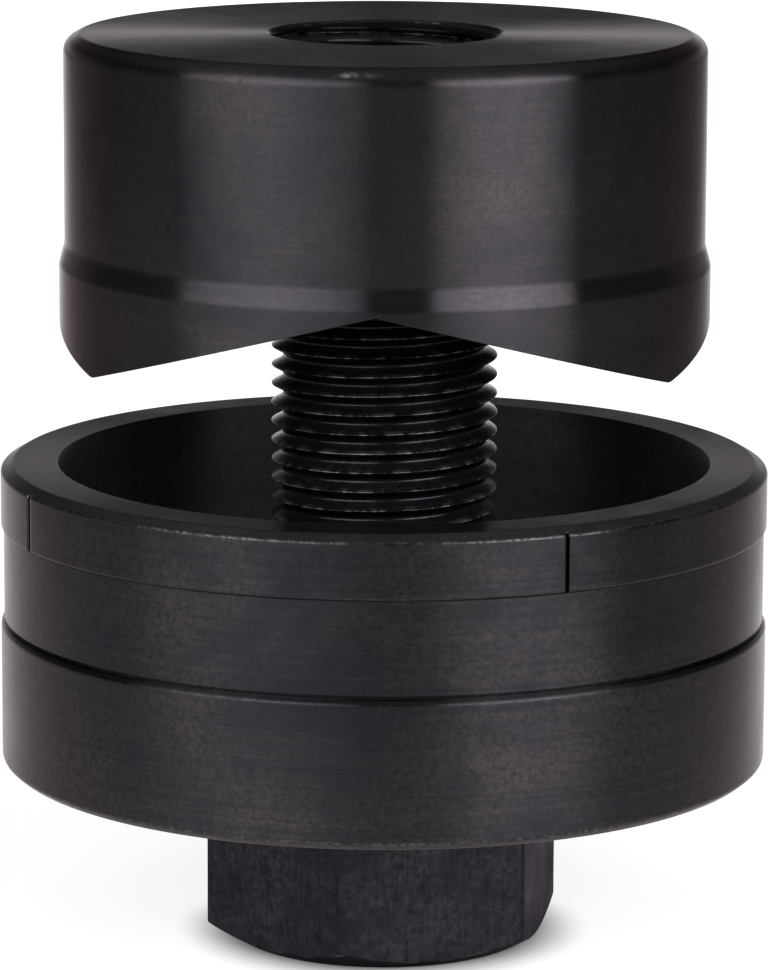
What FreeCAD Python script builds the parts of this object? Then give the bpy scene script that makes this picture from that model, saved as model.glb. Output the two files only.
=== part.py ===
"""A sheet metal hole punch: a three-pointed punch, a ring die and a draw bolt that turns on a thrust ball bearing.

The bolt stands on its hexagon head. Its head bears on the ball bearing in the die's underside, its shank
goes up through the die's cup, and its thread carries the punch, which the bolt pulls down into the die.
Millimetres. +Z is up along the bolt's axis, and the origin is the centre of the head's lower face.
Azimuths are in degrees, from -Y, the front, towards +X.
"""
import FreeCAD, Part
import math
import os

# Places that several pieces share
HOLE_R = 27.0                 # the hole that the tool cuts has a diameter of 54 mm
CUT_CLEARANCE = 0.24          # between the punch's land and the die's cutting edge
PUNCH_LIFT = 9.0              # the punch's points above the die's face, as the tool stands
THREAD_R = 9.5                # three quarters of an inch, 16 turns to the inch, less its allowance
THREAD_CLEARANCE = 0.04
OVERSHOOT = 1.0               # how far a cutting tool reaches past the surface that it opens
SAME_PLACE = 0.01             # heights or radii closer than this count as the same

# Draw bolt
HEAD_FLATS = 27.0
HEAD_H = 12.1
HEAD_TURN = -11.4             # azimuth of one corner of the hexagon
HEAD_FACE_R = 12.5            # round face that the end chamfer leaves
HEAD_CHAMFER_ANGLE = 30.0
HEAD_SIDES = 6
SHANK_L = 60.0                # from under the head to the bolt's end
SHANK_END_CHAMFER = 1.2
COLLAR_R = 9.95               # plain collar that centres the bearing
COLLAR_L = 9.4
NECK_R = 8.5                  # thread run-out above the collar
NECK_L = 1.8

# Thrust ball bearing
BEARING_H = 10.0
BEARING_R = 17.5
WASHER_T = 3.3
LOWER_WASHER_CLEARANCE = 0.05
UPPER_WASHER_CLEARANCE = 0.55
WASHER_CORNER = 0.3
BALL_R = 2.778
BALL_COUNT = 14
BALL_CLEARANCE = 0.015
GROOVE_R = 3.0
CAGE_T = 2.0
CAGE_SIDE_CLEARANCE = 0.25    # between the cage and the edges of the washers, inside and outside
CAGE_POCKET_CLEARANCE = 0.08

# Die
DIE_H = 25.4
DIE_R = 32.06
DIE_FLOOR_T = 11.0            # from the die's underside to the bottom of its cup
DIE_FLOOR_FILLET = 1.0
POCKET_DEPTH = 7.0            # of the bearing's seat in the underside
POCKET_CLEARANCE = 0.1
POCKET_CHAMFER = 0.4
BOLT_HOLE_CLEARANCE = 0.25
BOLT_HOLE_CHAMFER = 0.4
DIE_FOOT_BREAK_R = 0.75
DIE_FOOT_BREAK_H = 0.6
DIE_WAIST_R = 31.78           # relieved part between the foot and the band
DIE_SHOULDER_Z = 11.9         # foot of the slope below the waist, above the die's underside
DIE_SHOULDER_H = 0.4
BAND_R = 32.0
BAND_H = 5.1
BAND_STEP_H = 0.15
BAND_CHAMFER_R = 0.98
BAND_CHAMFER_H = 0.57
CUT_LAND_H = 4.0              # straight part of the die's bore, below the cutting edge
CUP_RELIEF = 0.4              # how much wider the cup is below the land
CUP_RELIEF_H = 1.2
MARK_COUNT = 4                # alignment marks in the band
MARK_TURN = 26.1
MARK_W = 0.32
MARK_DEPTH = 0.6

# Punch
PUNCH_TURN = -1.5             # azimuth of one valley of the cutting face
PUNCH_POINTS = 3
PUNCH_H = 26.75               # from the points to the back face
CUT_RISE = 7.3                # from the points up to the valleys, on the land
POINT_BLUNT = 0.06            # the points are ground off by this much
VALLEY_TO_LAND_TOP = 0.5
BEVEL_H = 1.65
PUNCH_BODY_R = 26.54
PUNCH_TOP_CHAMFER_R = 1.3
PUNCH_TOP_CHAMFER_H = 0.65
TAPPED_RIM = 0.2

# Radii worked out from the sizes above
BEARING_BORE_R = COLLAR_R + LOWER_WASHER_CLEARANCE
BALL_CIRCLE_R = (BEARING_BORE_R + BEARING_R) / 2
CAGE_INNER_R = BEARING_BORE_R + CAGE_SIDE_CLEARANCE
CAGE_OUTER_R = BEARING_R - CAGE_SIDE_CLEARANCE

# Heights worked out from the sizes above
HEAD_TOP_Z = HEAD_H
BALL_Z = HEAD_TOP_Z + BEARING_H / 2
BEARING_TOP_Z = HEAD_TOP_Z + BEARING_H
DIE_Z = BEARING_TOP_Z - POCKET_DEPTH
CUP_FLOOR_Z = DIE_Z + DIE_FLOOR_T
DIE_TOP_Z = DIE_Z + DIE_H
BOLT_TOP_Z = HEAD_TOP_Z + SHANK_L
POINT_Z = DIE_TOP_Z + PUNCH_LIFT
VALLEY_Z = POINT_Z + CUT_RISE
LAND_TOP_Z = VALLEY_Z + VALLEY_TO_LAND_TOP
PUNCH_TOP_Z = POINT_Z + PUNCH_H


def at_azimuth(radius, azimuth, z):
    """The point at this radius and height, at an azimuth in degrees from -Y towards +X."""
    a = math.radians(azimuth)
    return FreeCAD.Vector(radius * math.sin(a), -radius * math.cos(a), z)


def turned(profile):
    """A solid of revolution about Z. The profile is a closed list of (radius, height) corners."""
    corners = [FreeCAD.Vector(r, 0, z) for r, z in profile]
    face = Part.Face(Part.makePolygon(corners + corners[:1]))
    return face.revolve(FreeCAD.Vector(0, 0, 0), FreeCAD.Vector(0, 0, 1), 360)


def cylinder(radius, low, high):
    return Part.makeCylinder(radius, high - low, FreeCAD.Vector(0, 0, low))


def turned_about_axis(shape, azimuth):
    shape.rotate(FreeCAD.Vector(0, 0, 0), FreeCAD.Vector(0, 0, 1), azimuth)
    return shape


def prism(count, radius, azimuth, low, high):
    """An upright prism on a regular polygon with corners at this radius."""
    step = 360 / count
    corners = [at_azimuth(radius, azimuth + step * i, low) for i in range(count)]
    face = Part.Face(Part.makePolygon(corners + corners[:1]))
    return face.extrude(FreeCAD.Vector(0, 0, high - low))


def draw_bolt():
    """Hexagon head with a chamfered end, plain collar, thread run-out and shank, in one forging."""
    corner_r = HEAD_FLATS / 2 / math.cos(math.pi / HEAD_SIDES)
    head = prism(HEAD_SIDES, corner_r, HEAD_TURN, 0, HEAD_TOP_Z)
    slope = math.tan(math.radians(HEAD_CHAMFER_ANGLE))
    wide_r = corner_r + OVERSHOOT
    chamfered = turned([
        (0, 0),
        (HEAD_FACE_R, 0),
        (wide_r, (wide_r - HEAD_FACE_R) * slope),
        (wide_r, HEAD_TOP_Z),
        (0, HEAD_TOP_Z),
    ])
    head = head.common(chamfered)
    collar_top = HEAD_TOP_Z + COLLAR_L
    neck_top = collar_top + NECK_L
    neck_slope = THREAD_R - NECK_R
    stem = turned([
        (0, HEAD_TOP_Z - OVERSHOOT),
        (COLLAR_R, HEAD_TOP_Z - OVERSHOOT),
        (COLLAR_R, collar_top),
        (NECK_R, collar_top),
        (NECK_R, neck_top),
        (THREAD_R, neck_top + neck_slope),
        (THREAD_R, BOLT_TOP_Z - SHANK_END_CHAMFER),
        (THREAD_R - SHANK_END_CHAMFER, BOLT_TOP_Z),
        (0, BOLT_TOP_Z),
    ])
    return head.fuse(stem).removeSplitter()


def bearing_washer(low, bore_r, groove_z):
    """A hardened washer with a round ball groove and broken outer corners."""
    high = low + WASHER_T
    ring = turned([
        (bore_r, low),
        (BEARING_R - WASHER_CORNER, low),
        (BEARING_R, low + WASHER_CORNER),
        (BEARING_R, high - WASHER_CORNER),
        (BEARING_R - WASHER_CORNER, high),
        (bore_r, high),
    ])
    groove = Part.makeTorus(BALL_CIRCLE_R, GROOVE_R, FreeCAD.Vector(0, 0, groove_z))
    return ring.cut(groove)


def bearing_washers():
    """Lower washer on the bolt's head, upper washer in the die. The grooves are wider than the balls."""
    groove_shift = GROOVE_R - BALL_R - BALL_CLEARANCE
    lower = bearing_washer(HEAD_TOP_Z, BEARING_BORE_R, BALL_Z + groove_shift)
    upper = bearing_washer(
        BEARING_TOP_Z - WASHER_T, COLLAR_R + UPPER_WASHER_CLEARANCE, BALL_Z - groove_shift
    )
    return lower, upper


def ball_azimuth(i):
    return i * 360 / BALL_COUNT


def bearing_balls():
    return [
        Part.makeSphere(BALL_R, at_azimuth(BALL_CIRCLE_R, ball_azimuth(i), BALL_Z))
        for i in range(BALL_COUNT)
    ]


def bearing_cage():
    """A flat ring with one round pocket for each ball."""
    low = BALL_Z - CAGE_T / 2
    high = BALL_Z + CAGE_T / 2
    ring = cylinder(CAGE_OUTER_R, low, high).cut(cylinder(CAGE_INNER_R, low - OVERSHOOT, high + OVERSHOOT))
    pockets = [
        Part.makeCylinder(
            BALL_R + CAGE_POCKET_CLEARANCE,
            CAGE_T + 2 * OVERSHOOT,
            at_azimuth(BALL_CIRCLE_R, ball_azimuth(i), low - OVERSHOOT),
        )
        for i in range(BALL_COUNT)
    ]
    return ring.cut(pockets)


def die_outside():
    """(radius, height) corners of the die's outside, from its underside up to its face."""
    band_low = DIE_TOP_Z - BAND_H
    shoulder = DIE_Z + DIE_SHOULDER_Z
    return [
        (DIE_R - DIE_FOOT_BREAK_R, DIE_Z),
        (DIE_R, DIE_Z + DIE_FOOT_BREAK_H),
        (DIE_R, shoulder),
        (DIE_WAIST_R, shoulder + DIE_SHOULDER_H),
        (DIE_WAIST_R, band_low - BAND_STEP_H),
        (BAND_R, band_low),
        (BAND_R, DIE_TOP_Z - BAND_CHAMFER_H),
        (BAND_R - BAND_CHAMFER_R, DIE_TOP_Z),
    ]


def die_inside():
    """(radius, height) corners of the cup, the bolt's hole and the bearing's seat, from the face down."""
    edge_r = HOLE_R + CUT_CLEARANCE
    cup_r = edge_r + CUP_RELIEF
    hole_r = THREAD_R + BOLT_HOLE_CLEARANCE
    seat_r = BEARING_R + POCKET_CLEARANCE
    land_low = DIE_TOP_Z - CUT_LAND_H
    return [
        (edge_r, DIE_TOP_Z),
        (edge_r, land_low),
        (cup_r, land_low - CUP_RELIEF_H),
        (cup_r, CUP_FLOOR_Z),
        (hole_r + BOLT_HOLE_CHAMFER, CUP_FLOOR_Z),
        (hole_r, CUP_FLOOR_Z - BOLT_HOLE_CHAMFER),
        (hole_r, BEARING_TOP_Z),
        (seat_r, BEARING_TOP_Z),
        (seat_r, DIE_Z + POCKET_CHAMFER),
        (seat_r + POCKET_CHAMFER, DIE_Z),
    ]


def alignment_mark(azimuth):
    """An upright slot across the band, cut a little way into it."""
    low = DIE_TOP_Z - BAND_H - BAND_STEP_H
    slot = Part.makeBox(
        MARK_W,
        MARK_DEPTH + OVERSHOOT,
        DIE_TOP_Z + OVERSHOOT - low,
        FreeCAD.Vector(-MARK_W / 2, -BAND_R - OVERSHOOT, low),
    )
    return turned_about_axis(slot, azimuth)


def die():
    """The ring that the sheet lies on: a cup with a cutting edge, and the bearing's seat underneath."""
    body = turned(die_outside() + die_inside())
    cup_r = HOLE_R + CUT_CLEARANCE + CUP_RELIEF
    floor_corner = [
        edge for edge in body.Edges
        if abs(edge.BoundBox.ZMax - CUP_FLOOR_Z) < SAME_PLACE
        and abs(edge.BoundBox.ZMin - CUP_FLOOR_Z) < SAME_PLACE
        and abs(edge.BoundBox.XMax - cup_r) < SAME_PLACE
    ]
    body = body.makeFillet(DIE_FLOOR_FILLET, floor_corner)
    marks = [alignment_mark(MARK_TURN + i * 360 / MARK_COUNT) for i in range(MARK_COUNT)]
    return body.cut(marks)


def cutting_face_tool():
    """What the cutting face leaves open below it: a star of flat flanks that meet on the axis.

    The valleys rise outwards and the ridges fall outwards by the same slope, so on the land the edge
    climbs from each point to the valleys beside it.
    """
    step = 180 / PUNCH_POINTS
    reach = (HOLE_R + OVERSHOOT) / math.cos(math.radians(step / 2))
    middle_z = (POINT_Z + VALLEY_Z) / 2
    slope = CUT_RISE / 2 / HOLE_R
    base_z = middle_z - slope * reach - OVERSHOOT
    rim = []
    for i in range(2 * PUNCH_POINTS):
        side = 1 if i % 2 == 0 else -1
        rim.append(at_azimuth(reach, PUNCH_TURN + step * i, middle_z + side * slope * reach))
    foot = [FreeCAD.Vector(p.x, p.y, base_z) for p in rim]
    top = FreeCAD.Vector(0, 0, middle_z)
    faces = [Part.Face(Part.makePolygon(foot + foot[:1]))]
    for a, b in zip(range(len(rim)), list(range(1, len(rim))) + [0]):
        faces.append(Part.Face(Part.makePolygon([top, rim[a], rim[b], top])))
        faces.append(Part.Face(Part.makePolygon([foot[a], foot[b], rim[b], rim[a], foot[a]])))
    return Part.makeSolid(Part.makeShell(faces))


def punch():
    """The cutter: a back body, a bevel out to the land, and a cutting face with three points."""
    tapped_r = THREAD_R + THREAD_CLEARANCE
    body = turned([
        (tapped_r, POINT_Z + POINT_BLUNT),
        (HOLE_R, POINT_Z + POINT_BLUNT),
        (HOLE_R, LAND_TOP_Z),
        (PUNCH_BODY_R, LAND_TOP_Z + BEVEL_H),
        (PUNCH_BODY_R, PUNCH_TOP_Z - PUNCH_TOP_CHAMFER_H),
        (PUNCH_BODY_R - PUNCH_TOP_CHAMFER_R, PUNCH_TOP_Z),
        (tapped_r + TAPPED_RIM, PUNCH_TOP_Z),
        (tapped_r, PUNCH_TOP_Z - TAPPED_RIM),
    ])
    return body.cut(cutting_face_tool())


def main():
    lower_washer, upper_washer = bearing_washers()
    pieces = {
        "punch": punch(),
        "die": die(),
        "draw_bolt": draw_bolt(),
        "bearing_upper_washer": upper_washer,
        "bearing_lower_washer": lower_washer,
        "bearing_cage": bearing_cage(),
    }
    for i, ball in enumerate(bearing_balls(), 1):
        pieces[f"bearing_ball_{i:02d}"] = ball
    os.makedirs("parts", exist_ok=True)
    for name, shape in pieces.items():
        solids = shape.Solids
        print(name, len(solids), "solid", "valid" if shape.isValid() else "INVALID", round(shape.Volume, 1))
        solids[0].exportStep(f"parts/{name}.step")


main()
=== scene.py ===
"""A screw-drawn sheet metal hole punch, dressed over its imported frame.

Every surface is worked out in millimetres as a function of azimuth and of the place along a section, and is
written to its mesh in metres. Azimuths run from -Y, the front, towards +X.
"""
import math

import bmesh
import bpy
import numpy as np
from bpy.props import FloatProperty, FloatVectorProperty, IntProperty, PointerProperty
from bpy.types import Operator, Panel, PropertyGroup
from mathutils import Matrix


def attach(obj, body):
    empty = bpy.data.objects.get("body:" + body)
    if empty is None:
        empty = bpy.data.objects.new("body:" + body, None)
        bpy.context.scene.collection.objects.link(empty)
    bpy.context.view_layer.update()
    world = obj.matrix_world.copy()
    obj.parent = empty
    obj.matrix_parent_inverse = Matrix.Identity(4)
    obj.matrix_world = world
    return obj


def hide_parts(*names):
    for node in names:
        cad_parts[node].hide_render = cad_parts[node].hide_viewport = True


bl_info = {
    "name": "Sheet metal hole punch",
    "version": (1, 0, 0),
    "blender": (4, 5, 0),
    "location": "View3D > Sidebar > Hole Punch",
    "description": "Makes the punch, the die, the draw bolt, its bearing and their stage",
    "category": "Object",
}

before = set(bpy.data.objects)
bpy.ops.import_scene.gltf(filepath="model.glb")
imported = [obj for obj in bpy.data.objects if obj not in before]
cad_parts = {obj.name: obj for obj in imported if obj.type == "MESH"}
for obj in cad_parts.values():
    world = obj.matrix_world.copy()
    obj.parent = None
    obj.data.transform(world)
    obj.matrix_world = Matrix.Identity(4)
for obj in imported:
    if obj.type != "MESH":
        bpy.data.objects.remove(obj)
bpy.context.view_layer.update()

MM = 0.001

# Heights and radii of the tool as it stands, in millimetres
BOLT_TOP_Z = 72.1
DIE_Z = 15.1
DIE_TOP_Z = 40.5
CUP_FLOOR_Z = 26.1
SEAT_Z = 22.1
BALL_Z = 17.1
POINT_Z = 49.5
VALLEY_Z = 56.8
PUNCH_TOP_Z = 76.25
LAND_R = 27.0
THREAD_R = 9.5
CREST_R = 9.42
BEARING_R = 17.5
COLLAR_R = 9.95
NECK_R = 8.3

# Rows of rounded sections set apart: the punch's rim with its rubbed spot, the bolt's end, which wears more,
# the die's duller chamfer, and the die's groove, step and face, which carry painted shade or painted light
RIM_ROWS = slice(25, 28)
GROOVE_ROWS = slice(23, 34)
STEP_ROWS = slice(38, 42)
CHAMFER_ROWS = slice(61, 74)
FACE_ROWS = slice(74, 82)
HEAD_END_ROWS = 9

# The oxide's tints and its share of metal, and the colour where it has rubbed off
BLUER = (0.95, 0.98, 1.1)
WARMER = (1.04, 1.0, 0.97)
OXIDE_METALLIC = 0.93
BARE_STEEL = (0.40, 0.39, 0.38)


# Surfaces

def azimuths(count, start, beside=(), apart=()):
    """Azimuths in degrees through one turn from start, and more at small steps beside the given ones."""
    even = start + np.arange(count) * 360 / count
    more = (np.asarray(beside, float)[:, None] + np.asarray(apart, float)[None, :]).ravel()
    more = start + (more - start) % 360
    return np.unique(np.round(np.concatenate([even, more]), 6))


def placed(radius, azimuth, height):
    """Points (radius sin azimuth, -radius cos azimuth, height) as one array."""
    radius, azimuth, height = np.broadcast_arrays(radius, np.radians(azimuth), height)
    return np.stack([radius * np.sin(azimuth), -radius * np.cos(azimuth), height], -1)


def corner_grid(corners, around):
    """Corners of a section as an array of corner, azimuth and (radius, height).

    Each corner's radius and height may differ round the turn.
    """
    rows = [np.stack(np.broadcast_arrays(r, z, np.zeros(len(around)))[:2], -1) for r, z in corners]
    return np.stack(rows).astype(float)


def rounded(corners, sizes, steps=5):
    """A section with its inner corners rounded.

    Corner P becomes (1-t)(1-t) A + 2t(1-t) P + t t B for t from 0 to 1, where A and B lie on its two sides at
    the rounding's size from P, and one more row just outside each end keeps the flats flat. The second result
    is 1 on the middle of each rounding and 0 on the flats.
    """
    p = corners[1:-1]
    back, on = corners[:-2] - p, corners[2:] - p
    long_back = np.linalg.norm(back, axis=-1, keepdims=True)
    long_on = np.linalg.norm(on, axis=-1, keepdims=True)
    size = np.asarray(sizes, float)[:, None, None]
    size = np.minimum(size, 0.6 * np.minimum(long_back, long_on))
    back, on = back / long_back * size, on / long_on * size
    t = np.linspace(0, 1, steps)[None, :, None, None]
    a, b, mid = (p + back)[:, None], (p + on)[:, None], p[:, None]
    bend = (1 - t) ** 2 * a + 2 * t * (1 - t) * mid + t ** 2 * b
    bend = np.concatenate([(p + 1.25 * back)[:, None], bend, (p + 1.25 * on)[:, None]], 1)
    worn = np.concatenate([[0.0], 4 * t.ravel() * (1 - t.ravel()), [0.0]])
    rows = np.concatenate([corners[:1], bend.reshape(-1, *corners.shape[1:]), corners[-1:]])
    edge = np.concatenate([[0.0], np.tile(worn, len(p)), [0.0]])
    return rows, edge


def quads(rows, columns, shift=0):
    """Quads over a grid closed round its columns; the last column joins the first, shift rows further on."""
    j, i = (x.ravel() for x in np.mgrid[0:rows - 1, 0:columns])
    up = np.where(i == columns - 1, shift, 0)
    keep = j + 1 + up < rows
    j, i, up = j[keep], i[keep], up[keep]
    here = j * columns + i
    there = (j + up) * columns + (i + 1) % columns
    return np.stack([here, there, there + columns, here + columns], -1)


def turned(around, rows, edge, inner=0.0, shade=0.0):
    """A shell from section rows of (radius, height) at each azimuth.

    Each point carries how far it lies on a corner, how far within a bore or a thread, and how much painted shade
    darkens its colour, or painted light lightens it where that is below 0.
    """
    points = placed(rows[..., 0], around[None, :], rows[..., 1])
    edge = edge if np.ndim(edge) > 1 else np.reshape(edge, (-1, 1))
    values = [np.broadcast_to(v, rows.shape[:2]).ravel() for v in (edge, inner, shade)]
    return points.reshape(-1, 3), quads(*rows.shape[:2]), *values


def hexagon(around, flat, corners_at, sharp=90):
    """Radius of a hexagon with slightly soft corners at each azimuth.

    It is the distance to the flats, divided by the 1 / sharp power of the sum, over the flats that face the
    azimuth, of cos(azimuth - the flat's middle) to the power of sharp.
    """
    facing = np.maximum(np.cos(np.radians(around[:, None] - corners_at[None, :] - 30)), 0)
    return flat / (facing ** sharp).sum(1) ** (1 / sharp)


def thread_form(depth):
    """Places across one thread as shares of the pitch, and how deep each lies below the crest.

    They run from crest to crest: a narrow crest, two hollow flanks and a round root.
    """
    half = np.array([0.0, 0.025, 0.05, 0.19, 0.33, 0.42, 0.5])
    drop = np.array([0.0, 0.02, 0.07, 0.5, 0.88, 0.975, 1.0]) * depth
    return np.concatenate([half, 1 - half[-2:0:-1]]), np.concatenate([drop, drop[-2:0:-1]])


def threaded(around, low, high, thread, radius, shade, under):
    """A screw thread between two heights, with one row of points along each line of the helix.

    Height is pitch times (turn + place across the thread + azimuth / 360) + start. Beyond the ends every row
    is held at the end's height. radius(drop, height) gives the radius, so that chamfers can limit it. The
    crests count as corners, so that they wear bright. shade is painted shade on the upper flanks, and under is
    painted shade on the lower ones, most near the crest.
    """
    pitch, start = thread.pitch / MM, thread.start / MM
    place, drop = thread_form(thread.depth / MM)
    first = math.floor((low - start) / pitch) - 2
    last = math.ceil((high - start) / pitch) + 1
    turn = np.arange(first, last + 1)
    t = (turn[:, None] + place[None, :]).ravel()
    deep = np.tile(drop, len(turn))
    height = np.clip(pitch * (t[:, None] + around[None, :] / 360) + start, low, high)
    points = placed(radius(deep[:, None], height), around[None, :], height)
    crest = np.broadcast_to(np.clip(1.3 - deep / 0.08, 0, 1)[:, None], height.shape)
    dark = np.select([place > 0.9, place > 0.5], [under, 0.45 * under], shade)
    dark = np.broadcast_to(np.tile(dark, len(turn))[:, None], height.shape)
    faces = quads(*height.shape, shift=len(place))
    return points.reshape(-1, 3), faces, crest.ravel(), np.ones(height.size), dark.ravel()


def made(name, shells, body, nodes):
    """One closed mesh object from shells that share their end rings, riding on a body for its CAD nodes."""
    start = np.cumsum([0] + [len(s[0]) for s in shells[:-1]])
    points = np.concatenate([s[0] for s in shells]) * MM
    faces = np.concatenate([s[1] + k for s, k in zip(shells, start)])
    mesh = bpy.data.meshes.new(name)
    mesh.vertices.add(len(points))
    mesh.vertices.foreach_set("co", points.astype(np.float32).ravel())
    mesh.loops.add(faces.size)
    mesh.loops.foreach_set("vertex_index", faces.astype(np.int32).ravel())
    mesh.polygons.add(len(faces))
    mesh.polygons.foreach_set("loop_start", np.arange(0, faces.size, 4, dtype=np.int32))
    mesh.update(calc_edges=True)
    for k, label in enumerate(("edge", "inner", "shade"), 2):
        values = np.concatenate([s[k] for s in shells])
        mesh.attributes.new(label, "FLOAT", "POINT").data.foreach_set("value", values.astype(np.float32))
    bm = bmesh.new()
    bm.from_mesh(mesh)
    bmesh.ops.remove_doubles(bm, verts=bm.verts, dist=1e-6)
    bmesh.ops.dissolve_degenerate(bm, edges=bm.edges, dist=1e-7)
    bmesh.ops.recalc_face_normals(bm, faces=bm.faces)
    open_edges = sum(not e.is_manifold for e in bm.edges)
    bm.to_mesh(mesh)
    bm.free()
    if open_edges:
        raise RuntimeError(f"{name} has {open_edges} open edges")
    mesh.polygons.foreach_set("use_smooth", np.ones(len(mesh.polygons), bool))
    obj = bpy.data.objects.new(name, mesh)
    bpy.context.scene.collection.objects.link(obj)
    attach(obj, body)
    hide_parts(*nodes)
    return obj


# Shader parts

def new_group(name, inputs, outputs):
    """An empty shader node group; inputs are (name, kind, default) and outputs are (name, kind)."""
    group = bpy.data.node_groups.new(name, "ShaderNodeTree")
    for label, kind, value in inputs:
        socket = group.interface.new_socket(label, in_out="INPUT", socket_type=kind)
        if value is not None:
            socket.default_value = value
    for label, kind in outputs:
        group.interface.new_socket(label, in_out="OUTPUT", socket_type=kind)
    return group, group.nodes.new("NodeGroupInput"), group.nodes.new("NodeGroupOutput")


def node(tree, kind, settings=None, links=None):
    """A node with its properties and plain values set, and its inputs linked from (node, output) pairs."""
    made_node = tree.nodes.new(kind)
    for key, value in (settings or {}).items():
        if hasattr(made_node, key):
            setattr(made_node, key, value)
        else:
            made_node.inputs[key].default_value = value
    for key, pair in (links or {}).items():
        feed(tree, pair, made_node.inputs[key])
    return made_node


def feed(tree, pair, socket):
    """Links a (node, output) pair to a socket."""
    source, output = pair
    tree.links.new(source.outputs[output], socket)


def maths(tree, operation, a, b=None, clamp=False):
    """A Math node's result as a (node, output) pair; a and b are numbers or such pairs."""
    result = tree.nodes.new("ShaderNodeMath")
    result.operation = operation
    result.use_clamp = clamp
    for socket, value in zip(result.inputs, (a, b)):
        if isinstance(value, tuple):
            feed(tree, value, socket)
        elif value is not None:
            socket.default_value = value
    return result, "Value"


def ramp(tree, pair, low, high, start=0.0, end=1.0, smooth=False):
    """A value from low to high mapped onto start to end and held at the ends, as a (node, output) pair."""
    values = {"From Min": low, "From Max": high, "To Min": start, "To Max": end}
    if smooth:
        values["interpolation_type"] = "SMOOTHSTEP"
    return node(tree, "ShaderNodeMapRange", values, {"Value": pair}), "Result"


def mixed(tree, factor, low, high):
    """A mix of two colours as a (node, output) pair; each is a colour or such a pair, as factor is."""
    result = node(tree, "ShaderNodeMix", {"data_type": "RGBA"})
    for value, socket in zip((factor, low, high), (result.inputs[0], result.inputs[6], result.inputs[7])):
        if len(value) == 2:
            feed(tree, value, socket)
        else:
            socket.default_value = (*value, 1.0)
    return result, 2


def tinted(colour, factor, tint=(1.0, 1.0, 1.0)):
    """A colour times a factor and a tint."""
    return tuple(c * t * factor for c, t in zip(colour, tint))


def cylinder_places():
    """Group: a turned part's places, as the angle times Around and the height and radius in millimetres."""
    name = "turned part places"
    if name in bpy.data.node_groups:
        return bpy.data.node_groups[name]
    g, into, out = new_group(
        name,
        [("Vector", "NodeSocketVector", None), ("Around", "NodeSocketFloat", 1.0)],
        [("Vector", "NodeSocketVector")],
    )
    split = node(g, "ShaderNodeSeparateXYZ", links={"Vector": (into, "Vector")})
    angle = maths(g, "ARCTAN2", (split, "X"), (split, "Y"))
    around = maths(g, "MULTIPLY", angle, (into, "Around"))
    xx = maths(g, "MULTIPLY", (split, "X"), (split, "X"))
    yy = maths(g, "MULTIPLY", (split, "Y"), (split, "Y"))
    radius = maths(g, "SQRT", maths(g, "ADD", xx, yy))
    height_mm = maths(g, "MULTIPLY", (split, "Z"), 1000.0)
    radius_mm = maths(g, "MULTIPLY", radius, 1000.0)
    join = node(g, "ShaderNodeCombineXYZ", links={"X": around, "Y": height_mm, "Z": radius_mm})
    feed(g, (join, "Vector"), out.inputs["Vector"])
    return g


def turning_marks():
    """Group: fine rings that the lathe leaves, as a height from 0 to 1."""
    name = "turning marks"
    if name in bpy.data.node_groups:
        return bpy.data.node_groups[name]
    g, into, out = new_group(
        name,
        [("Vector", "NodeSocketVector", None), ("Rings per mm", "NodeSocketFloat", 4.0),
         ("Wander", "NodeSocketFloat", 0.6)],
        [("Height", "NodeSocketFloat")],
    )
    places = node(g, "ShaderNodeGroup", {"node_tree": cylinder_places()},
                  {"Vector": (into, "Vector"), "Around": (into, "Wander")})
    split = node(g, "ShaderNodeSeparateXYZ", links={"Vector": (places, "Vector")})
    along = maths(g, "ADD", (split, "Y"), (split, "Z"))
    rings = maths(g, "MULTIPLY", along, (into, "Rings per mm"))
    where = node(g, "ShaderNodeCombineXYZ", links={"X": (split, "X"), "Y": rings})
    noise = node(g, "ShaderNodeTexNoise", {"Scale": 1.0, "Detail": 3.0, "Roughness": 0.6},
                 {"Vector": (where, "Vector")})
    feed(g, (noise, "Fac"), out.inputs["Height"])
    return g


def blotches():
    """Group: uneven oxide and oil, as soft blotches from 0 to 1 and as finer specks from 0 to 1."""
    name = "oxide blotches"
    if name in bpy.data.node_groups:
        return bpy.data.node_groups[name]
    g, into, out = new_group(
        name,
        [("Vector", "NodeSocketVector", None), ("Size per m", "NodeSocketFloat", 120.0),
         ("Specks per m", "NodeSocketFloat", 1500.0), ("Contrast", "NodeSocketFloat", 2.0)],
        [("Blotches", "NodeSocketFloat"), ("Specks", "NodeSocketFloat")],
    )
    wide = node(g, "ShaderNodeTexNoise", {"Detail": 4.0, "Roughness": 0.62, "Distortion": 0.4},
                {"Vector": (into, "Vector"), "Scale": (into, "Size per m")})
    centred = maths(g, "SUBTRACT", (wide, "Fac"), 0.5)
    strong = maths(g, "MULTIPLY", centred, (into, "Contrast"))
    feed(g, maths(g, "ADD", strong, 0.5, clamp=True), out.inputs["Blotches"])
    fine = node(g, "ShaderNodeTexNoise", {"Detail": 4.0, "Roughness": 0.75},
                {"Vector": (into, "Vector"), "Scale": (into, "Specks per m")})
    feed(g, ramp(g, (fine, "Fac"), 0.42, 0.68), out.inputs["Specks"])
    return g


def edge_wear():
    """Group: where the oxide has rubbed off along the corners, from 0 to 1, broken up by noise."""
    name = "edge wear"
    if name in bpy.data.node_groups:
        return bpy.data.node_groups[name]
    g, into, out = new_group(
        name,
        [("Vector", "NodeSocketVector", None), ("Amount", "NodeSocketFloat", 0.5),
         ("Break-up per m", "NodeSocketFloat", 900.0)],
        [("Mask", "NodeSocketFloat")],
    )
    corner = node(g, "ShaderNodeAttribute", {"attribute_name": "edge"})
    noise = node(g, "ShaderNodeTexNoise", {"Detail": 4.0, "Roughness": 0.65},
                 {"Vector": (into, "Vector"), "Scale": (into, "Break-up per m")})
    both = maths(g, "MULTIPLY", (corner, "Fac"), ramp(g, (noise, "Fac"), 0.46, 0.62))
    feed(g, maths(g, "MULTIPLY", both, (into, "Amount"), clamp=True), out.inputs["Mask"])
    return g


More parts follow.
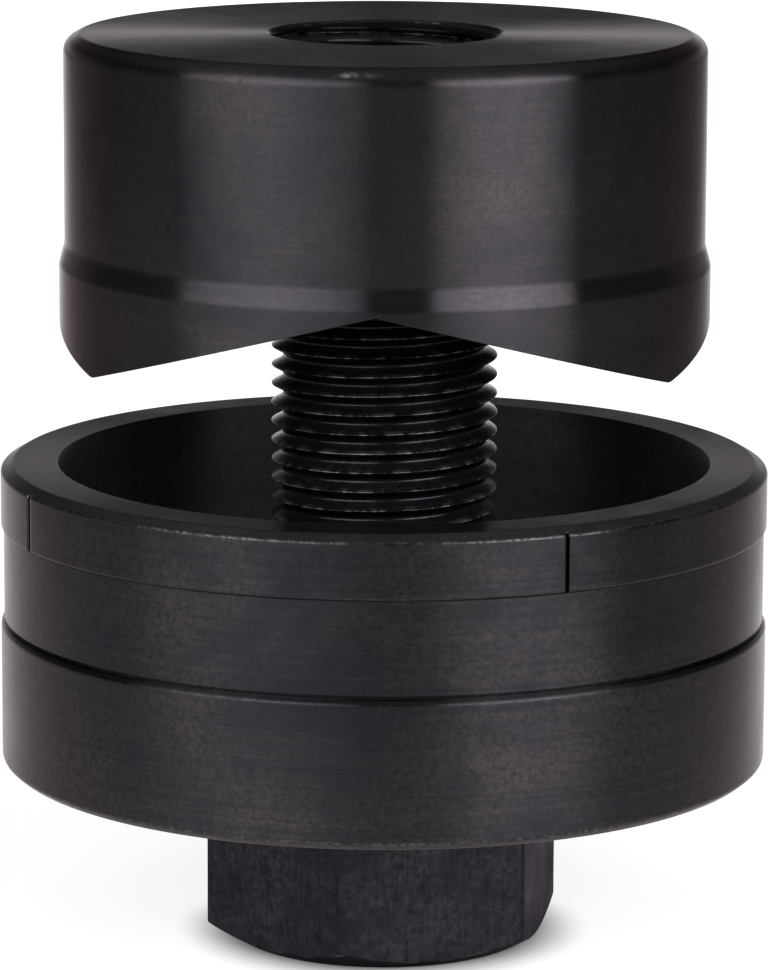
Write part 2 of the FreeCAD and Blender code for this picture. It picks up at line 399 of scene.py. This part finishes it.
def new_material(name):
    """A node material with its tree, its shader and the Object coordinates as a (node, output) pair."""
    material = bpy.data.materials.new(name)
    material.use_nodes = True
    tree = material.node_tree
    return material, tree, tree.nodes["Principled BSDF"], (node(tree, "ShaderNodeTexCoord"), "Object")


def effect(tree, group, where, values):
    """A shader node group in a material, on the given coordinates and with its own values."""
    return node(tree, "ShaderNodeGroup", {"node_tree": group, **values}, {"Vector": where})


def emboss(tree, shader, height, depth):
    """Fine relief on a shader from a (node, output) pair of heights; depth is in millimetres."""
    bump = node(tree, "ShaderNodeBump", {"Strength": 1.0, "Distance": depth * MM}, {"Height": height})
    feed(tree, (bump, "Normal"), shader.inputs["Normal"])


def steel(name, colour, roughness, spread, wear, wear_per_m, rings, ring_height, blotches_per_m, specks_per_m,
          mottle, grazing, brushed, streaks, inner_dull, inner_roughness):
    """Oiled black steel: oxide with blotches and dark specks, turning marks as fine relief, rubbed corners.

    The blotches run from a darker, bluer oxide to a lighter, warmer one. spread is how far they move the
    roughness, wear is how bare the corners are, rings are per millimetre and ring_height is in millimetres,
    mottle is how far the colour varies, grazing is the tint of reflections at low angles, brushed is how far
    the tool marks round the axis smear reflections across them, streaks is how much of the relief runs up the
    part, inner_dull is how much of a bore or a thread is dull oxide, and inner_roughness is added there.
    """
    material, tree, shader, where = new_material(name)
    marks = effect(tree, turning_marks(), where, {"Rings per mm": rings, "Wander": 0.6})
    patches = effect(tree, blotches(), where,
                     {"Size per m": blotches_per_m, "Specks per m": specks_per_m, "Contrast": 2.8})
    rubbed = effect(tree, edge_wear(), where, {"Amount": wear, "Break-up per m": wear_per_m})
    dark, relief = (patches, "Specks"), (marks, "Height")
    if streaks:
        places = effect(tree, cylinder_places(), where, {"Around": 22.0})
        split = node(tree, "ShaderNodeSeparateXYZ", links={"Vector": (places, "Vector")})
        slow = maths(tree, "MULTIPLY", (split, "Y"), 0.16)
        along = node(tree, "ShaderNodeCombineXYZ", links={"X": (split, "X"), "Y": slow})
        grain = node(tree, "ShaderNodeTexNoise", {"Scale": 1.5, "Detail": 5.0, "Roughness": 0.72},
                     {"Vector": (along, "Vector")})
        dark = maths(tree, "ADD", dark, ramp(tree, (grain, "Fac"), 0.5, 0.72), clamp=True)
        relief = maths(tree, "ADD", relief, maths(tree, "MULTIPLY", (grain, "Fac"), streaks))
    ringed = ramp(tree, (marks, "Height"), 0.3, 0.7, -0.3, 0.3)
    tone = maths(tree, "ADD", (patches, "Blotches"), ringed, clamp=True)
    oxide = mixed(tree, tone, tinted(colour, 1 - 0.6 * mottle, BLUER), tinted(colour, 1 + mottle, WARMER))
    spotted = mixed(tree, dark, oxide, tinted(colour, 1 - 0.85 * mottle))
    surface = mixed(tree, (rubbed, "Mask"), spotted, BARE_STEEL)
    # Painted shade: the mesh's shade values darken the colour and the grazing reflections, and lighten them as
    # painted light where they are below 0
    shade = node(tree, "ShaderNodeAttribute", {"attribute_name": "shade"})
    keep = maths(tree, "SUBTRACT", 1.0, (shade, "Fac"))
    shaded = node(tree, "ShaderNodeVectorMath", {"operation": "SCALE"}, {"Vector": surface, "Scale": keep})
    feed(tree, (shaded, "Vector"), shader.inputs["Base Color"])
    tint = node(tree, "ShaderNodeVectorMath", {"operation": "SCALE", "Vector": grazing}, {"Scale": keep})
    feed(tree, (tint, "Vector"), shader.inputs["Specular Tint"])
    inner = node(tree, "ShaderNodeAttribute", {"attribute_name": "inner"})
    rough = ramp(tree, (patches, "Blotches"), 0.0, 1.0, roughness - spread, roughness + spread)
    speckled = maths(tree, "MULTIPLY", (patches, "Specks"), 0.5 * spread)
    total = maths(tree, "ADD", rough, speckled, clamp=True)
    total = maths(tree, "ADD", total, maths(tree, "MULTIPLY", (inner, "Fac"), inner_roughness), clamp=True)
    feed(tree, total, shader.inputs["Roughness"])
    metallic = ramp(tree, (inner, "Fac"), 0.0, 1.0, OXIDE_METALLIC, 1.0 - inner_dull)
    feed(tree, metallic, shader.inputs["Metallic"])
    emboss(tree, shader, relief, ring_height)
    shader.inputs["Specular IOR Level"].default_value = 0.2
    shader.inputs["Anisotropic"].default_value = brushed
    shader.inputs["Anisotropic Rotation"].default_value = 0.25
    tangent = node(tree, "ShaderNodeTangent", {"direction_type": "RADIAL", "axis": "Z"})
    feed(tree, (tangent, "Tangent"), shader.inputs["Tangent"])
    return material


def bright_steel(name, colour, roughness, rings, ring_height):
    """Ground bearing steel with fine rings and a little uneven oil; ring_height is in millimetres."""
    material, tree, shader, where = new_material(name)
    marks = effect(tree, turning_marks(), where, {"Rings per mm": rings, "Wander": 0.8})
    patches = effect(tree, blotches(), where, {"Size per m": 260.0, "Contrast": 1.6})
    oily = mixed(tree, (patches, "Blotches"), tinted(colour, 0.82), tuple(colour))
    feed(tree, oily, shader.inputs["Base Color"])
    rough = ramp(tree, (patches, "Blotches"), 0.0, 1.0, roughness * 0.75, roughness * 1.3)
    feed(tree, rough, shader.inputs["Roughness"])
    emboss(tree, shader, (marks, "Height"), ring_height)
    shader.inputs["Metallic"].default_value = 1.0
    return material


def paint(obj, material):
    """Puts one material on every face."""
    obj.data.materials.clear()
    obj.data.materials.append(material)


# Settings

class HolePunchThread(PropertyGroup):
    """The thread that joins the draw bolt and the punch."""
    pitch: FloatProperty(
        name="Pitch", description="Height of one turn of the thread",
        default=1.5875 * MM, unit="LENGTH", precision=5,
    )
    depth: FloatProperty(
        name="Depth", description="From the crests to the roots",
        default=0.974 * MM, unit="LENGTH", precision=5,
    )
    start: FloatProperty(
        name="Start", description="Height of a crest at the front",
        default=1.38 * MM, unit="LENGTH", precision=5,
    )
    columns: IntProperty(name="Columns", description="Points round one turn", default=144, min=24, max=240)


class HolePunchCutter(PropertyGroup):
    """The punch."""
    turn: FloatProperty(
        name="Turn", description="Azimuth of one valley of the cutting face",
        default=math.radians(-1.5), subtype="ANGLE",
    )
    corner: FloatProperty(
        name="Corner", description="Rounding of the outer corners",
        default=0.22 * MM, unit="LENGTH", precision=5,
    )
    spot: FloatProperty(
        name="Worn spot", description="Azimuth of the rubbed spot on the rim",
        default=math.radians(-6.0), subtype="ANGLE",
    )
    colour: FloatVectorProperty(
        name="Colour", description="Black oxide",
        default=(0.043, 0.0395, 0.0435), size=3, subtype="COLOR", min=0, max=1,
    )
    roughness: FloatProperty(
        name="Roughness", description="Of the ground outside",
        default=0.25, min=0, max=1,
    )


class HolePunchDie(PropertyGroup):
    """The die and its alignment marks."""
    mark_width: FloatProperty(
        name="Mark width", description="Width of an alignment mark",
        default=0.27 * MM, unit="LENGTH", precision=5,
    )
    mark_depth: FloatProperty(
        name="Mark depth", description="Depth of a mark below the band",
        default=0.6 * MM, unit="LENGTH", precision=5,
    )
    mark_turn: FloatProperty(
        name="Mark turn", description="Azimuth of the first mark",
        default=math.radians(26.85), subtype="ANGLE",
    )
    corner: FloatProperty(
        name="Corner", description="Rounding of the outer corners",
        default=0.12 * MM, unit="LENGTH", precision=5,
    )
    colour: FloatVectorProperty(
        name="Colour", description="Black oxide",
        default=(0.034, 0.0312, 0.035), size=3, subtype="COLOR", min=0, max=1,
    )
    roughness: FloatProperty(
        name="Roughness", description="Of the turned outside",
        default=0.30, min=0, max=1,
    )


class HolePunchBolt(PropertyGroup):
    """The draw bolt."""
    flats: FloatProperty(
        name="Across flats", description="Width of the hexagon",
        default=27.0 * MM, unit="LENGTH", precision=5,
    )
    turn: FloatProperty(
        name="Turn", description="Azimuth of one corner of the hexagon",
        default=math.radians(-11.4), subtype="ANGLE",
    )
    colour: FloatVectorProperty(
        name="Colour", description="Black oxide on the forging",
        default=(0.026, 0.0242, 0.0295), size=3, subtype="COLOR", min=0, max=1,
    )
    roughness: FloatProperty(name="Roughness", description="Of the head", default=0.45, min=0, max=1)


class HolePunchBearing(PropertyGroup):
    """The thrust ball bearing."""
    ball_radius: FloatProperty(
        name="Ball radius", description="Radius of a ball",
        default=2.778 * MM, unit="LENGTH", precision=5,
    )
    circle_radius: FloatProperty(
        name="Circle radius", description="Radius of the circle that the balls lie on",
        default=13.75 * MM, unit="LENGTH", precision=5,
    )
    colour: FloatVectorProperty(
        name="Colour", description="Ground steel",
        default=(0.52, 0.52, 0.51), size=3, subtype="COLOR", min=0, max=1,
    )


class HolePunchStage(PropertyGroup):
    """The floor, the lamps and the camera."""
    floor_colour: FloatVectorProperty(
        name="Floor", description="Pale floor",
        default=(0.54, 0.54, 0.54), size=3, subtype="COLOR", min=0, max=1,
    )
    floor_glow: FloatProperty(
        name="Floor glow", description="How much the floor is lifted towards white",
        default=0.78, min=0, max=1,
    )
    left: FloatProperty(name="Left lamp", description="Power of the lamp at the left", default=1.65, min=0)
    right: FloatProperty(name="Right lamp", description="Power of the lamp at the right", default=1.75, min=0)
    world: FloatProperty(
        name="World", description="Strength of the light above the horizon",
        default=0.1, min=0,
    )
    overhead: FloatProperty(
        name="Overhead", description="Strength of the light from straight above",
        default=0.32, min=0,
    )
    lens: FloatProperty(
        name="Lens", description="Focal length of the camera, in millimetres",
        default=195.84, min=10,
    )


# Pieces

class HOLEPUNCH_OT_punch(Operator):
    """Make the punch: back face, chamfer, body, bevel, land, three-pointed cutting face and tapped hole"""
    bl_idname = "holepunch.punch"
    bl_label = "Make the punch"

    def execute(self, context):
        s, thread = context.scene.hole_punch_cutter, context.scene.hole_punch_thread
        turn = math.degrees(s.turn)
        creases = turn + np.arange(0, 360, 60)
        around = azimuths(216, turn, creases, (-0.9, -0.45, -0.15, 0.15, 0.45, 0.9))
        play = 0.04
        body_r, hole_r = 26.54, 9.9
        rim_r, rim_z = THREAD_R + 0.24, PUNCH_TOP_Z
        foot_r, foot_z = THREAD_R + play, 56.5

        def cut_height(radius):
            """Six flat flanks that meet on the axis.

            Height is the middle height + 2 slope radius sin(30 - angle from the nearest valley), where slope
            is half of the cut's height over the land's radius. The angle is softened near valleys and points.
            """
            soft = 0.3
            slope = (VALLEY_Z - POINT_Z) / 2 / LAND_R
            off = np.abs((around - turn + 60) % 120 - 60)
            off = np.sqrt(off ** 2 + soft ** 2)
            off = 60 - np.sqrt((60 - off) ** 2 + soft ** 2)
            height = (POINT_Z + VALLEY_Z) / 2 + 2 * slope * radius * np.sin(np.radians(30 - off))
            return np.maximum(height, POINT_Z + 0.06)

        corners = corner_grid([
            (rim_r - 0.2, rim_z - 0.2),
            (rim_r, rim_z),
            (25.24, rim_z),
            (body_r, 75.6),
            (body_r, 58.95),
            (LAND_R, 57.3),
            (LAND_R, cut_height(LAND_R)),
            (hole_r, cut_height(hole_r)),
            (foot_r, foot_z),
        ], around)
        c = s.corner / MM
        rows, edge = rounded(corners, [0.1, 0.9 * c, 3.9 * c, 1.2 * c, c, 0.07, 0.1], 9)
        spot_width = 3.2
        from_spot = (around - math.degrees(s.spot) + 180) % 360 - 180
        spot = np.exp(-(from_spot / spot_width) ** 2)
        worn = np.zeros(rows.shape[:2])
        worn[RIM_ROWS] = 0.8 * edge[RIM_ROWS, None] * spot[None, :]
        # The top face is darkened a little as painted shade
        top = np.clip((rows[..., 1] - rim_z + 0.25) / 0.2, 0, 1)
        # The rubbed spot counts as a corner, which bares it, and as inner, which smooths it
        outside = turned(around, rows, worn, worn, 0.14 * top)
        drill_r = THREAD_R - 0.5413 * thread.pitch / MM

        def tapped(drop, height):
            """The bolt's thread grown by its play, outside the drill's radius and the two countersinks."""
            r = np.maximum(CREST_R - drop + play, drill_r)
            r = np.maximum(r, rim_r - (rim_z - height))
            return np.maximum(r, foot_r - (height - foot_z))

        # The tapped hole is darkened as painted shade
        bore = threaded(around, foot_z, rim_z - 0.2, thread, tapped, shade=0.8, under=0.8)
        punch = made("punch_body", [outside, bore], "punch", ["punch"])
        paint(punch, steel(
            "ground black steel", s.colour, s.roughness, spread=0.03, wear=1.0, wear_per_m=900.0, rings=5.0,
            ring_height=0.0005, blotches_per_m=95.0, specks_per_m=2600.0, mottle=0.25,
            grazing=(0.62, 0.55, 0.55), brushed=1.0, streaks=0.0, inner_dull=0.3, inner_roughness=-0.1,
        ))
        return {"FINISHED"}


class HOLEPUNCH_OT_die(Operator):
    """Make the die: chamfered band with its marks, waist, shoulder, foot, cup and the bearing's seat"""
    bl_idname = "holepunch.die"
    bl_label = "Make the die"

    def execute(self, context):
        s = context.scene.hole_punch_die
        seam_r, foot_r, waist_r, band_r = 24.0, 32.045, 31.78, 32.0
        mouth_r, cup_r, hole_r, seat_r = 27.24, 27.64, THREAD_R + 0.25, BEARING_R + 0.1
        band_low, chamfer = DIE_TOP_Z - 5.1, 0.57
        half = math.degrees(s.mark_width / 2 / MM / band_r) * np.array([1.0, 1.5, 1.2, 1.9])
        marks = math.degrees(s.mark_turn) + np.array([0.0, 89.6, 179.6, 268.9])
        apart = np.array([-2.2, -1.35, -1.1, -0.9, -0.6, 0.0, 0.6, 0.9, 1.1, 1.35, 2.2])
        around = azimuths(288, 0.0, (marks[:, None] + half[:, None] * apart[None, :]).ravel(), [0.0])
        corners = corner_grid([
            (seam_r, DIE_Z),
            (31.31, DIE_Z),
            (foot_r, DIE_Z + 0.6),
            (foot_r, 27.0),
            (31.74, 27.36),
            (waist_r, 27.6),
            (waist_r, band_low - 0.15),
            (band_r, band_low),
            (band_r, band_low + 0.3),
            (band_r, DIE_TOP_Z - chamfer),
            (31.5, DIE_TOP_Z - chamfer * 0.5),
            (31.02, DIE_TOP_Z),
            (mouth_r, DIE_TOP_Z),
            (mouth_r, DIE_TOP_Z - 4),
            (cup_r, DIE_TOP_Z - 9),
            (cup_r, CUP_FLOOR_Z),
            (hole_r + 0.4, CUP_FLOOR_Z),
            (hole_r, CUP_FLOOR_Z - 0.4),
            (hole_r, SEAT_Z),
            (seat_r, SEAT_Z),
            (seat_r, DIE_Z + 0.4),
            (seat_r + 0.4, DIE_Z),
            (seam_r, DIE_Z),
        ], around)
        c = s.corner / MM
        sizes = [
            2 * c, 2 * c, 1.5 * c, 0.1, 0.1, 0.06, 0.12, 0.05, 1.5 * c, 0.05, c,
            0.06, 0.2, 0.3, 1.0, *[0.1] * 6,
        ]
        wear = np.array([0.8, 0.8, 0.25, 0, 0, 0.3, 0.3, 0.3, 1.3, 0.4, 0.6, *[0] * 10])
        rows, edge = rounded(corners, sizes)
        edge[1:-1] *= np.repeat(wear, (len(edge) - 2) // len(wear))
        # Painted shade in the shoulder's step and under the band, and painted light on the top face
        gloom = np.zeros((len(rows), 1))
        gloom[GROOVE_ROWS] = 0.65
        gloom[STEP_ROWS] = 0.5
        gloom[FACE_ROWS] = -0.2
        off = (np.abs((around[None, :] - marks[:, None] + 180) % 360 - 180) / half[:, None]).min(0)
        slot = np.clip((1.2 - off) / 0.3, 0, 1)
        floor_r = band_r - s.mark_depth / MM
        r, z = rows[..., 0], rows[..., 1]
        above = np.clip((z - band_low + 0.16) / 0.12, 0, 1)
        above = above * np.clip((DIE_TOP_Z - 0.45 - z) / 0.1, 0, 1)
        sunk = slot[None, :] * above * np.maximum(r - floor_r, 0)
        r -= sunk
        inside = np.clip((mouth_r + 0.26 - r) / 0.3, 0, 1) * np.clip((DIE_TOP_Z - 0.03 - z) / 0.05, 0, 1)
        cup = np.maximum(inside, (r < cup_r + 0.06) & (z < DIE_TOP_Z - 4))
        cup[CHAMFER_ROWS] = 0.35
        # The marks are darkened inside as painted shade, the more the deeper they are cut
        shade = gloom + 0.4 * np.clip(sunk / 0.2, 0, 1)
        die = made("die_body", [turned(around, rows, edge, cup, shade)], "die", ["die"])
        paint(die, steel(
            "turned black steel", s.colour, s.roughness, spread=0.06, wear=0.16, wear_per_m=2400.0, rings=3.0,
            ring_height=0.0012, blotches_per_m=85.0, specks_per_m=2100.0, mottle=0.38,
            grazing=(0.79, 0.73, 0.73), brushed=0.9, streaks=0.0, inner_dull=0.7, inner_roughness=0.2,
        ))
        return {"FINISHED"}


class HOLEPUNCH_OT_bolt(Operator):
    """Make the draw bolt: hexagon head with a chamfered end, collar, run-out and threaded shank"""
    bl_idname = "holepunch.bolt"
    bl_label = "Make the draw bolt"

    def execute(self, context):
        s, thread = context.scene.hole_punch_bolt, context.scene.hole_punch_thread
        turn = math.degrees(s.turn)
        corners_at = turn + np.arange(0, 360, 60)
        apart = (-3.0, -1.8, -1.2, -0.6, -0.3, 0.3, 0.6, 1.2, 1.8, 3.0)
        around = azimuths(thread.columns, turn, corners_at, apart)
        face_r, head_z, collar_z, run_out_z = 12.5, 12.1, 21.5, 23.3
        head_r = hexagon(around, s.flats / MM / 2, corners_at)
        chamfer_z = (head_r - face_r) * math.tan(math.radians(30))
        corners = corner_grid([
            (0.0, 0.0),
            (face_r, 0.0),
            (head_r, chamfer_z),
            (head_r, head_z),
            (COLLAR_R, head_z),
            (COLLAR_R, collar_z),
            (NECK_R, collar_z),
            (NECK_R, run_out_z),
        ], around)
        rows, edge = rounded(corners, [0.25, 0.18, 0.15, 0.1, 0.2, 0.1])
        worn = np.where(np.arange(len(rows)) < HEAD_END_ROWS, 0.6, 0.15) * edge
        # The chamfer under the head is darkened a little as painted shade
        under = (rows[..., 1] < chamfer_z + 0.02) & (rows[..., 0] > face_r - 0.2)
        head = turned(around, rows, worn, 0.0, 0.15 * under)
        end_r = THREAD_R - 1.4

        def shank(drop, height):
            """The thread inside the end chamfer and the run-out's slope, each of 45 degrees."""
            r = np.minimum(CREST_R - drop, end_r + (BOLT_TOP_Z - height))
            return np.minimum(r, NECK_R + (height - run_out_z))

        # The thread's lower flanks are darkened as painted shade, most just under the crests
        screw = threaded(around, run_out_z, BOLT_TOP_Z, thread, shank, shade=0.0, under=0.85)
        tip = corner_grid([(end_r, BOLT_TOP_Z), (end_r - 0.3, BOLT_TOP_Z), (0.0, BOLT_TOP_Z)], around)
        end = turned(around, tip, np.zeros(3))
        bolt = made("draw_bolt_body", [head, screw, end], "draw_bolt", ["draw_bolt"])
        paint(bolt, steel(
            "forged black steel", s.colour, s.roughness, spread=0.1, wear=0.8, wear_per_m=700.0, rings=1.2,
            ring_height=0.012, blotches_per_m=160.0, specks_per_m=1700.0, mottle=0.5,
            grazing=(0.45, 0.42, 0.46), brushed=0.0, streaks=1.2, inner_dull=0.3, inner_roughness=-0.3,
        ))
        return {"FINISHED"}


class HOLEPUNCH_OT_washers(Operator):
    """Make the bearing's two washers, each with a ball groove"""
    bl_idname = "holepunch.washers"
    bl_label = "Make the bearing washers"

    def execute(self, context):
        s = context.scene.hole_punch_bearing
        around = azimuths(144, 0.0)
        groove_r, face_gap, half_height, seam_r = 3.0, 1.7, 5.0, 14.0
        circle, ball = s.circle_radius / MM, s.ball_radius / MM
        shift = groove_r - ball - 0.015
        reach = math.acos((face_gap + shift) / groove_r)
        swing = np.linspace(-reach, reach, 15)
        sizes = [0.25, 0.2, 0.08, *[0.02] * 13, 0.08, 0.3, 0.3]
        finish = bright_steel("ground bearing steel", s.colour, roughness=0.22, rings=6.0, ring_height=0.0008)
        for name, node_name, body, bore, side in (
            ("lower_washer", "bearing_lower_washer", "draw_bolt", COLLAR_R + 0.05, -1),
            ("upper_washer", "bearing_upper_washer", "die", COLLAR_R + 0.55, 1),
        ):
            back, face = BALL_Z + side * half_height, BALL_Z + side * face_gap
            seam = (seam_r, back)
            deep = BALL_Z + side * (groove_r * np.cos(swing) - shift)
            groove = zip(circle + groove_r * np.sin(swing), deep)
            corners = [seam, (bore, back), (bore, face), *groove, (BEARING_R, face), (BEARING_R, back), seam]
            rows, edge = rounded(corner_grid(corners, around), sizes)
            paint(made(name, [turned(around, rows, edge)], body, [node_name]), finish)
        return {"FINISHED"}


class HOLEPUNCH_OT_balls(Operator):
    """Make the bearing's balls, each on its own body, and finish the cage that spaces them"""
    bl_idname = "holepunch.balls"
    bl_label = "Make the bearing balls"

    def execute(self, context):
        s = context.scene.hole_punch_bearing
        circle, ball = s.circle_radius / MM, s.ball_radius / MM
        polished = bright_steel("polished ball steel", [0.62] * 3, 0.08, rings=2.0, ring_height=0.0002)
        around = azimuths(32, 0.0)
        lift = np.radians(np.linspace(-90, 90, 19))
        rows = corner_grid(zip(ball * np.cos(lift), ball * np.sin(lift)), around)
        rows[0, :, 0] = rows[-1, :, 0] = 0.0
        names = sorted(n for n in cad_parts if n.startswith("bearing_ball_"))
        for k, name in enumerate(names):
            points, *rest = turned(around, rows, np.zeros(len(lift)))
            points = points + placed(circle, k * 360 / len(names), BALL_Z)
            body = name.replace("bearing_ball", "ball")
            paint(made("polished_" + body, [(points, *rest)], body, [name]), polished)
        pressed = bright_steel("pressed cage steel", (0.42, 0.41, 0.39), 0.38, rings=3.0, ring_height=0.003)
        paint(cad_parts["bearing_cage"], pressed)
        return {"FINISHED"}


class HOLEPUNCH_OT_stage(Operator):
    """Make the floor, the lamps, the world and the camera"""
    bl_idname = "holepunch.stage"
    bl_label = "Make the stage"

    def floor(self, scene, s):
        """A pale square, lifted towards white for the camera, and for mirrored rays in a pool behind the tool.

        The pool lies between two slanted lines, with its front edge behind the tool. The lift grows with the
        distance from the axis, and it is left out under the head and fades in just round it, which paints a soft
        shadow round the head.
        """
        reach = 12.0
        corners = [(-reach, -reach, 0), (reach, -reach, 0), (reach, reach, 0), (-reach, reach, 0)]
        mesh = bpy.data.meshes.new("floor")
        mesh.from_pydata(corners, [], [(0, 1, 2, 3)])
        floor = bpy.data.objects.new("floor", mesh)
        scene.collection.objects.link(floor)
        material, tree, shader, where = new_material("pale floor")
        shader.inputs["Base Color"].default_value = (*s.floor_colour, 1.0)
        shader.inputs["Roughness"].default_value = 0.9
        shader.inputs["Specular IOR Level"].default_value = 0.1
        path = node(tree, "ShaderNodeLightPath")
        mirrored = maths(tree, "ADD", (path, "Is Glossy Ray"), (path, "Is Transmission Ray"), clamp=True)
        place = node(tree, "ShaderNodeSeparateXYZ", links={"Vector": where})
        aside = maths(tree, "ABSOLUTE", maths(tree, "ADD", (place, "X"), 0.03))
        aside = maths(tree, "SUBTRACT", aside, maths(tree, "MULTIPLY", (place, "Y"), 0.11))
        middle = ramp(tree, aside, 0.08, 0.24, 1.0, 0.0, smooth=True)
        rear = ramp(tree, (place, "Y"), -0.24, -0.08, smooth=True)
        pool = maths(tree, "MULTIPLY", maths(tree, "MULTIPLY", middle, rear), mirrored)
        lifted = maths(tree, "ADD", pool, (path, "Is Camera Ray"), clamp=True)
        away = node(tree, "ShaderNodeVectorMath", {"operation": "LENGTH"}, {"Vector": where})
        lifted = maths(tree, "MULTIPLY", lifted, ramp(tree, (away, "Value"), 0.05, 0.7, 1.0, 1.5))
        lifted = maths(tree, "MULTIPLY", lifted, ramp(tree, (away, "Value"), 0.0115, 0.018, smooth=True))
        shader.inputs["Emission Color"].default_value = (1, 1, 1, 1)
        feed(tree, maths(tree, "MULTIPLY", lifted, s.floor_glow), shader.inputs["Emission Strength"])
        paint(floor, material)

    def lamp(self, scene, name, place, size, power):
        """A soft oval lamp at a place, turned to the middle of the tool."""
        data = bpy.data.lights.new(name, "AREA")
        data.shape = "ELLIPSE"
        data.spread = math.radians(110)
        data.size, data.size_y = size
        data.energy = power
        obj = bpy.data.objects.new(name, data)
        scene.collection.objects.link(obj)
        place = np.array(place)
        back = place - np.array((0.0, 0.0, 0.10))
        back /= np.linalg.norm(back)
        side = np.cross((0.0, 0.0, 1.0), back)
        side /= np.linalg.norm(side)
        up = np.cross(back, side)
        matrix = np.eye(4)
        matrix[:3] = np.stack([side, up, back, place], 1)
        obj.matrix_world = Matrix(matrix.tolist())

    def sky(self, scene, s):
        """A world that is white for the camera, with a white horizon behind the tool and soft overhead light."""
        world = bpy.data.worlds.new("studio")
        scene.world = world
        world.use_nodes = True
        tree = world.node_tree
        background = tree.nodes["Background"]
        where = node(tree, "ShaderNodeTexCoord")
        split = node(tree, "ShaderNodeSeparateXYZ", links={"Vector": (where, "Generated")})
        low = ramp(tree, (split, "Z"), -0.02, 0.235, 1.0, s.world, smooth=True)
        behind = ramp(tree, (split, "Y"), 0.4, 0.95, 0.1, 1.0)
        top = ramp(tree, (split, "Z"), 0.35, 0.95, 0.0, s.overhead, smooth=True)
        level = maths(tree, "ADD", maths(tree, "MULTIPLY", low, behind), top)
        level = maths(tree, "MAXIMUM", level, (node(tree, "ShaderNodeLightPath"), "Is Camera Ray"))
        feed(tree, level, background.inputs["Strength"])
        background.inputs["Color"].default_value = (1, 1, 1, 1)

    def camera(self, scene, s):
        """The camera that was fitted to the photograph's circles."""
        data = bpy.data.cameras.new("camera")
        data.lens = s.lens
        data.sensor_width = 36.0
        data.clip_start, data.clip_end = 0.01, 50.0
        camera = bpy.data.objects.new("camera", data)
        scene.collection.objects.link(camera)
        camera.rotation_mode = "ZYX"
        camera.location = (0.0, -0.43330, 0.12354)
        camera.rotation_euler = (math.pi / 2 - 0.19432, 0.0, 0.00391)
        scene.camera = camera

    def execute(self, context):
        scene = context.scene
        s = scene.hole_punch_stage
        scene.view_settings.view_transform = "Standard"
        self.floor(scene, s)
        self.lamp(scene, "left lamp", (-0.44, -0.49, 0.28), (0.94, 0.50), s.left)
        self.lamp(scene, "right lamp", (0.452, -0.478, 0.28), (0.68, 0.50), s.right)
        self.sky(scene, s)
        self.camera(scene, s)
        return {"FINISHED"}


class HOLEPUNCH_PT_panel(Panel):
    """The tool's pieces in the 3D view's sidebar"""
    bl_idname = "HOLEPUNCH_PT_panel"
    bl_label = "Hole punch"
    bl_space_type = "VIEW_3D"
    bl_region_type = "UI"
    bl_category = "Hole Punch"

    def draw(self, context):
        for operator, groups in PIECES:
            column = self.layout.column()
            column.operator(operator)
            for group in groups:
                settings = getattr(context.scene, group)
                for name in settings.__annotations__:
                    column.prop(settings, name)


PIECES = (
    ("holepunch.punch", ("hole_punch_cutter",)),
    ("holepunch.die", ("hole_punch_die",)),
    ("holepunch.bolt", ("hole_punch_bolt", "hole_punch_thread")),
    ("holepunch.washers", ("hole_punch_bearing",)),
    ("holepunch.balls", ()),
    ("holepunch.stage", ("hole_punch_stage",)),
)
SETTINGS = {
    "hole_punch_thread": HolePunchThread,
    "hole_punch_cutter": HolePunchCutter,
    "hole_punch_die": HolePunchDie,
    "hole_punch_bolt": HolePunchBolt,
    "hole_punch_bearing": HolePunchBearing,
    "hole_punch_stage": HolePunchStage,
}
CLASSES = (
    *SETTINGS.values(),
    HOLEPUNCH_OT_punch,
    HOLEPUNCH_OT_die,
    HOLEPUNCH_OT_bolt,
    HOLEPUNCH_OT_washers,
    HOLEPUNCH_OT_balls,
    HOLEPUNCH_OT_stage,
    HOLEPUNCH_PT_panel,
)


def register():
    """Makes the classes and the scene's settings known to Blender."""
    for made_class in CLASSES:
        bpy.utils.register_class(made_class)
    for name, group in SETTINGS.items():
        setattr(bpy.types.Scene, name, PointerProperty(type=group))


def unregister():
    """Takes the settings and the classes out of Blender again."""
    for name in SETTINGS:
        delattr(bpy.types.Scene, name)
    for made_class in reversed(CLASSES):
        bpy.utils.unregister_class(made_class)


def main():
    register()
    bpy.ops.holepunch.punch()
    bpy.ops.holepunch.die()
    bpy.ops.holepunch.bolt()
    bpy.ops.holepunch.washers()
    bpy.ops.holepunch.balls()
    bpy.ops.holepunch.stage()


if __name__ == "__main__":
    main()
